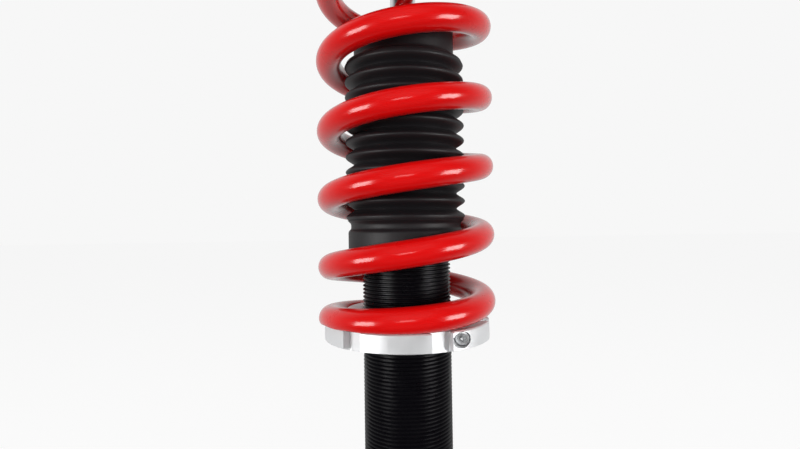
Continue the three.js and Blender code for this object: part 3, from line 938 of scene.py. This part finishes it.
def cap_screw_surface(shank, head, head_height, key, key_depth, length, segments=96):
    """A socket-head screw along Z with its head's face at zero and its tip at `length`. Rows run
    from the socket's floor up its six sides, over the head and down the shank."""
    angle = np.linspace(0, 2 * np.pi, segments, endpoint=False)
    six = hexagon(angle, key)
    ring = np.ones(segments)
    rows = [
        (six * 0.02, key_depth + 0.5),
        (six, key_depth),
        (six, 0.25),
        (six + 0.2, 0.0),
        (ring * (head - 0.35), 0.0),
        (ring * (head - 0.1), 0.12),
        (ring * head, 0.45),
        (ring * head, head_height - 0.2),
        (ring * (head - 0.2), head_height),
        (ring * shank, head_height),
        (ring * shank, length - 0.6),
        (ring * (shank - 0.6), length),
    ]
    radii = np.array([row[0] for row in rows])
    return modulated(radii[::-1], np.array([row[1] for row in rows])[::-1])

# %% Pinch bolt
CLAMP_END = 11 * MM
bolt_length = (CLAMP_SEAT + HEAD_HEIGHT + CLAMP_END) / MM + 0.3
screw_points, screw_faces = cap_screw_surface(1.99, 3.45, 4, 3, 2, bolt_length)
screw_faces = [block[:, ::-1] for block in screw_faces]
bolt_start = Matrix.Translation((0, 0, -CLAMP_SEAT - HEAD_HEIGHT - 0.3 * MM))
bolt = build("pinch_bolt_screw", moved((screw_points, screw_faces), clamp_frame @ bolt_start))
stand_for(bolt, "pinch_bolt", finishes["zinc_steel"])

# %% [markdown]
# ## The lower eye
#
# The end piece screws into the tube and carries the eye. Neck and eye are two turned shapes about
# crossing axes, joined by a Boolean and then bored, as a forging is machined.

# %% Lower eye
across_eye = Matrix.Rotation(math.radians(-90), 4, "X")
neck_outline = rounded([
    (0, 4), (12.5, 4), (12.5, 19, 3), (17, 28, 4), (23.3, 35, 0.8), (23.9, 36, 0.6),
    (23.9, 43, 0.5), (19.7, 43, 0.2), (19.7, 46.7, 0.3), (17.3, 46.7, 0.2), (17.3, 49.3, 0.2),
    (19.7, 49.3, 0.3), (19.7, 53, 0.8), (0, 53),
])
eye_outline = rounded([(0, -14), (19.5, -14, 1.2), (19.5, 14, 1.2), (0, 14)])
bore_outline = [(0, -30), (16.3, -30), (16.3, 30), (0, 30)]
lower_eye = build("lower_eye_forging", revolve(neck_outline, 128))
apply_cuts(lower_eye, [moved(revolve(eye_outline, 128), across_eye)], "UNION")
apply_cuts(lower_eye, [moved(revolve(bore_outline, 128), across_eye)])
stand_for(lower_eye, "lower_eye", finishes["black_anodised"])


def turn_across(node, outline, segments=128, radius=0.3):
    """A turned piece about the eye's axis, its heights running along Y."""
    surface = moved(revolve(rounded(outline, radius), segments), across_eye)
    return stand_for(build(node + "_turned", surface), node, finishes[slot_of[node]])


turn_across("eye_bush_rubber", [
    (10.3, -15.2), (11.5, -16, 0.8), (14.5, -16, 1.5), (16.0, -14, 0.8),
    (16.0, 14, 0.8), (14.5, 16, 1.5), (11.5, 16, 0.8), (10.3, 15.2),
])
turn_across("eye_bush_sleeve", [(6.1, -20, 0.5), (10, -20, 0.5), (10, 20, 0.5), (6.1, 20, 0.5)])

# %% [markdown]
# ## Rod, buffer and upper mount
#
# These are plain lathe work: each call gives the outline as it would stand in a drawing. The
# studs and the rod's top carry real threads.

# %% Rod and buffer
rod_low, rod_high = (corner.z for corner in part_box("piston_rod"))
rod_length = (rod_high - rod_low) / MM
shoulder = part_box("compression_shims")[1].z + 0.3 * MM
top_shoulder = spring_ceiling - 0.2 * MM
stem = (shoulder - rod_low) / MM
upper = (top_shoulder - rod_low) / MM
rod_outline = rounded([
    (2, 0, 0.3), (5, 0, 0.6), (5, stem, 0.1), (7, stem, 0.5), (7, upper, 0.5),
    (5.26, upper, 0.1), (5.26, rod_length, 0.6), (2, rod_length, 0.3),
])
rod_thread = thread_ridge(5.99 * MM, 1.25 * MM, top_shoulder, rod_high - 0.5 * MM, 64)
rod = build("piston_rod_bar", raised(revolve(rod_outline, 128), rod_low), rod_thread)
stand_for(rod, "piston_rod", finishes["hard_chrome"])

turn("bump_stop", [
    (7.3, 0, 0.5), (16, 0, 1.5), (21.5, 3, 2), (24.5, 9, 4), (22, 14, 2), (19.5, 17, 2.4),
    (22, 20, 2), (24.5, 25, 3), (24.5, 31, 3), (23, 34.2, 1), (12.3, 34.2, 0.4), (12.3, 36.3, 0.3),
    (13.6, 37.3, 0.6), (12.3, 41, 0.8), (7.3, 41, 0.5),
])

# %% Guide, seal and gland
turn("gland_nut", [
    (9, 0), (19.7, 0), (19.7, 6), (23.9, 6), (23.9, 8.1, 0.6), (23.3, 8.7), (9, 8.7, 0.8),
])
turn("rod_guide", [
    (7.3, 0, 0.6), (18.7, 0), (19.7, 1), (19.7, 22), (12.3, 22), (12.3, 15.7), (7.3, 15.7),
])
turn("rod_seal", [(7.3, 0), (12, 0), (12, 5.7), (9, 5.7, 0.8), (7.3, 3.7, 0.5)])

# %% Upper seat and mount
turn("upper_spring_pad", [(34.1, 0, 0.6), (47.5, 0, 1.0), (47.5, 3, 1.0), (34.1, 3, 0.6)])
seat_rise = (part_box("upper_spring_seat")[0].z - top_shoulder) / MM
turn("upper_spring_seat", [
    (6.3, 0.3 - seat_rise), (12, 0.3 - seat_rise, 0.8), (14, 10.7, 2.0), (29, 10.7, 2.0),
    (30, 0, 0.8), (33.5, 0, 1.0), (33.8, 1, 0.8), (33.8, 9.3, 0.4), (47.5, 9.3, 0.8),
    (47.5, 14.3, 1.2), (46, 15.8, 1.0), (20, 15.8, 2.0), (15, 17.3, 1.5), (6.3, 17.3, 0.4),
])
turn("lower_spacer", [(6.3, 0), (13, 0, 0.5), (8.8, 4.7, 2.0), (8.8, 7.4, 0.4), (6.3, 7.4)])
turn("upper_spacer", [(6.3, 0), (8.8, 0, 0.4), (8.8, 5, 0.4), (6.3, 5)])


def ball_arc(radius, flat, count):
    """(radius, height) along a circle about the ball's centre between its two flats."""
    limit = math.asin(flat / radius)
    angle = np.linspace(-limit, limit, count)
    return [(radius * math.cos(a), flat + radius * math.sin(a), 0) for a in angle]


turn("pillow_ball", [(6.3, 0), *ball_arc(12, 8, 25), (6.3, 16)])
turn("pillow_race", [*ball_arc(12.3, 6.8, 25), (17, 13.6, 0.5), (17, 0, 0.5)])

# %% Top plate
plate_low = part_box("top_plate")[0].z
STUD_CIRCLE = 40 * MM
plate_outline = rounded([
    (14.5, 0, 0.5), (23, 0, 0.5), (24, 1, 0.5), (24, 6.5, 1.5), (51, 6.5, 0.8), (52, 7.5, 0.6),
    (52, 13.5, 0.6), (51, 14.5, 0.8), (24, 14.5, 1.5), (24, 18.5, 0.5), (23, 19.5, 0.5),
    (17.3, 19.5, 0.6), (17.3, 18.3, 0.1), (18.3, 17.9, 0.1), (18.3, 16.1, 0.1), (17.3, 16.1, 0.1),
    (17.3, 2.4, 0.1), (14.5, 2.4, 0.3),
])
plate = build("top_plate_disc", raised(revolve(plate_outline, 192), plate_low))
stud_places = [
    Matrix.Rotation(math.radians(90 + 120 * n), 4, "Z") @ Matrix.Translation((STUD_CIRCLE, 0, 0))
    for n in range(3)
]
hole = raised(revolve([(0, 0), (4.3, 0), (4.3, 30), (0, 30)], 48), plate_low - 5 * MM)
apply_cuts(plate, [moved(hole, place) for place in stud_places])
stand_for(plate, "top_plate", finishes["machined_aluminium"])

# %% Studs
stud_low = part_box("mount_stud_1")[0].z
stud_height = (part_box("mount_stud_1")[1].z - stud_low) / MM
stud_outline = rounded([
    (0, 0), (6.2, 0, 0.3), (6.5, 0.4, 0.3), (6.5, 3, 0.4), (4, 3, 0.2), (4, 12.5, 0.2),
    (3.25, 13, 0.2), (3.25, stud_height - 0.6, 0.3), (2.7, stud_height, 0.2), (0, stud_height),
])
stud_thread = thread_ridge(
    3.99 * MM, 1.25 * MM, stud_low + 12.6 * MM, stud_low + (stud_height - 0.6) * MM, 48
)
for number, place in enumerate(stud_places):
    node = f"mount_stud_{number + 1}"
    shank = moved(raised(revolve(stud_outline, 64), stud_low), place)
    stud = build(node + "_threaded", shank, moved(stud_thread, place))
    stand_for(stud, node, finishes["zinc_steel"])

# %% Top nut and adjuster
nut_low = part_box("top_nut")[0].z
top_nut = build("top_nut_hexagon", raised(nut_surface(19, 6.2, 11), nut_low), sharp_degrees=25)
stand_for(top_nut, "top_nut", finishes["zinc_steel"])

KNOB_FLUTES = 18
knob_low, knob_high = (corner.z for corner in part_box("adjuster_knob"))
knob_height = (knob_high - knob_low) / MM
knob_angle = np.linspace(0, 2 * np.pi, 360, endpoint=False)
flute = 0.45 * np.clip(np.cos(KNOB_FLUTES * knob_angle) * 1.6, -1, 1)
knob_rows = [
    (6.2 + 0 * flute, 6.2), (6.2 + 0 * flute, 0.0), (7.8 + 0 * flute, 0.0),
    (8.5 + flute * 0.5, 0.5), (8.55 + flute, 1.2), (8.55 + flute, knob_height - 3.0),
    (8.4 + flute * 0.6, knob_height - 1.8), (7.9 + flute * 0.0, knob_height - 0.9),
    (7.0 + 0 * flute, knob_height), (0.05 + 0 * flute, knob_height),
]
knob_surface = modulated(
    np.array([row[0] for row in knob_rows]), np.array([row[1] for row in knob_rows])
)
knob = build("adjuster_knob_fluted", raised(knob_surface, knob_low))
stand_for(knob, "adjuster_knob", finishes["blue_anodised"])

# %% [markdown]
# ## What stays as it is
#
# The pieces inside the closed tube are never seen in use. Their CAD solids are right, so they
# keep them and only take their finish.

# %% Inner pieces
for node, obj in frame["nodes"].items():
    if not obj.hide_render:
        obj.data.materials.clear()
        obj.data.materials.append(finishes[slot_of[node]])
        print("kept from CAD:", node)

# %% [markdown]
# ## The studio
#
# A pale floor runs into a pale room. Two soft boxes stand level with the camera, one each side,
# and draw the pair of short highlights that sit on the middle of every coil. A weaker one above
# the lens draws the faint one between them. The room is bright behind the spring, which gives the
# wire its light edges, and dark behind the camera, so that glossy black stays black. Two large
# fills that mirrors don't see, one high and one low, light the paint evenly.

# %% Floor
FLOOR_SIZE = 8.0
floor_points = np.array([[-1, -1, 0], [1, -1, 0], [1, 1, 0], [-1, 1, 0]], float) * FLOOR_SIZE
floor_points[:, 2] = cad_low.z - 0.5 * MM
floor = build("studio_floor", (floor_points, [np.array([[0, 1, 2, 3]])]))
floor_paint, floor_shader = new_finish("floor_paint", (0.15, 0.15, 0.15), 0, 0.9)
floor_shader.inputs["Emission Color"].default_value = (1, 1, 1, 1)
floor_shader.inputs["Emission Strength"].default_value = 0.87
floor_shader.inputs["Specular IOR Level"].default_value = 0.0
floor.data.materials.append(floor_paint)
floor.visible_diffuse = False
floor.visible_glossy = False

# %% Room
ROOM_SEEN = 0.93
ROOM_BEHIND = 0.68
ROOM_FRONT = 0.05
world = bpy.data.worlds.new("room")
world.use_nodes = True
bpy.context.scene.world = world
tree = world.node_tree
backdrop = tree.nodes["Background"]
direction = tree.nodes.new("ShaderNodeTexCoord").outputs["Generated"]
parts = tree.nodes.new("ShaderNodeSeparateXYZ")
tree.links.new(direction, parts.inputs[0])
behind = tree.nodes.new("ShaderNodeMapRange")
behind.interpolation_type = "SMOOTHSTEP"
tree.links.new(parts.outputs["Y"], behind.inputs["Value"])
for key, value in {
    "From Min": -0.4, "From Max": 0.6, "To Min": ROOM_FRONT, "To Max": ROOM_BEHIND,
}.items():
    behind.inputs[key].default_value = value
sight = tree.nodes.new("ShaderNodeLightPath").outputs["Is Camera Ray"]
seen = tree.nodes.new("ShaderNodeMath")
seen.operation = "MULTIPLY"
seen.inputs[1].default_value = ROOM_SEEN
tree.links.new(sight, seen.inputs[0])
level = tree.nodes.new("ShaderNodeMath")
level.operation = "MAXIMUM"
tree.links.new(behind.outputs[0], level.inputs[0])
tree.links.new(seen.outputs[0], level.inputs[1])
tree.links.new(level.outputs[0], backdrop.inputs["Strength"])
backdrop.inputs["Color"].default_value = (1, 1, 1, 1)

# %% Soft boxes
def soft_box(name, azimuth, elevation, size, power, distance=1.4, mirrored=True):
    """A rectangle of light facing the spring. Azimuth is from the front, positive to the right."""
    light_data = bpy.data.lights.new(name, "AREA")
    light_data.shape = "RECTANGLE"
    light_data.size, light_data.size_y = size
    light_data.energy = power
    light = bpy.data.objects.new(name, light_data)
    a, e = math.radians(azimuth), math.radians(elevation)
    away = Vector((math.sin(a) * math.cos(e), -math.cos(a) * math.cos(e), math.sin(e)))
    light.location = Vector((0, 0, perch_low + 60 * MM)) + away * distance
    light.rotation_mode = "QUATERNION"
    light.rotation_quaternion = away.to_track_quat("Z", "Y")
    light.visible_camera = False
    light.visible_glossy = mirrored
    bpy.context.scene.collection.objects.link(light)
    return light


soft_box("left_box", -58, -4, (0.62, 0.62), 15)
soft_box("right_box", 57, -4, (0.62, 0.62), 15)
soft_box("lens_box", -6, 9, (0.5, 0.2), 1.6)
soft_box("front_fill", -5, 42, (1.6, 1.2), 9, mirrored=False)
soft_box("low_fill", 0, -35, (1.6, 0.8), 2, mirrored=False)

bpy.context.scene.view_settings.view_transform = "Standard"
bpy.context.scene.view_settings.look = "None"
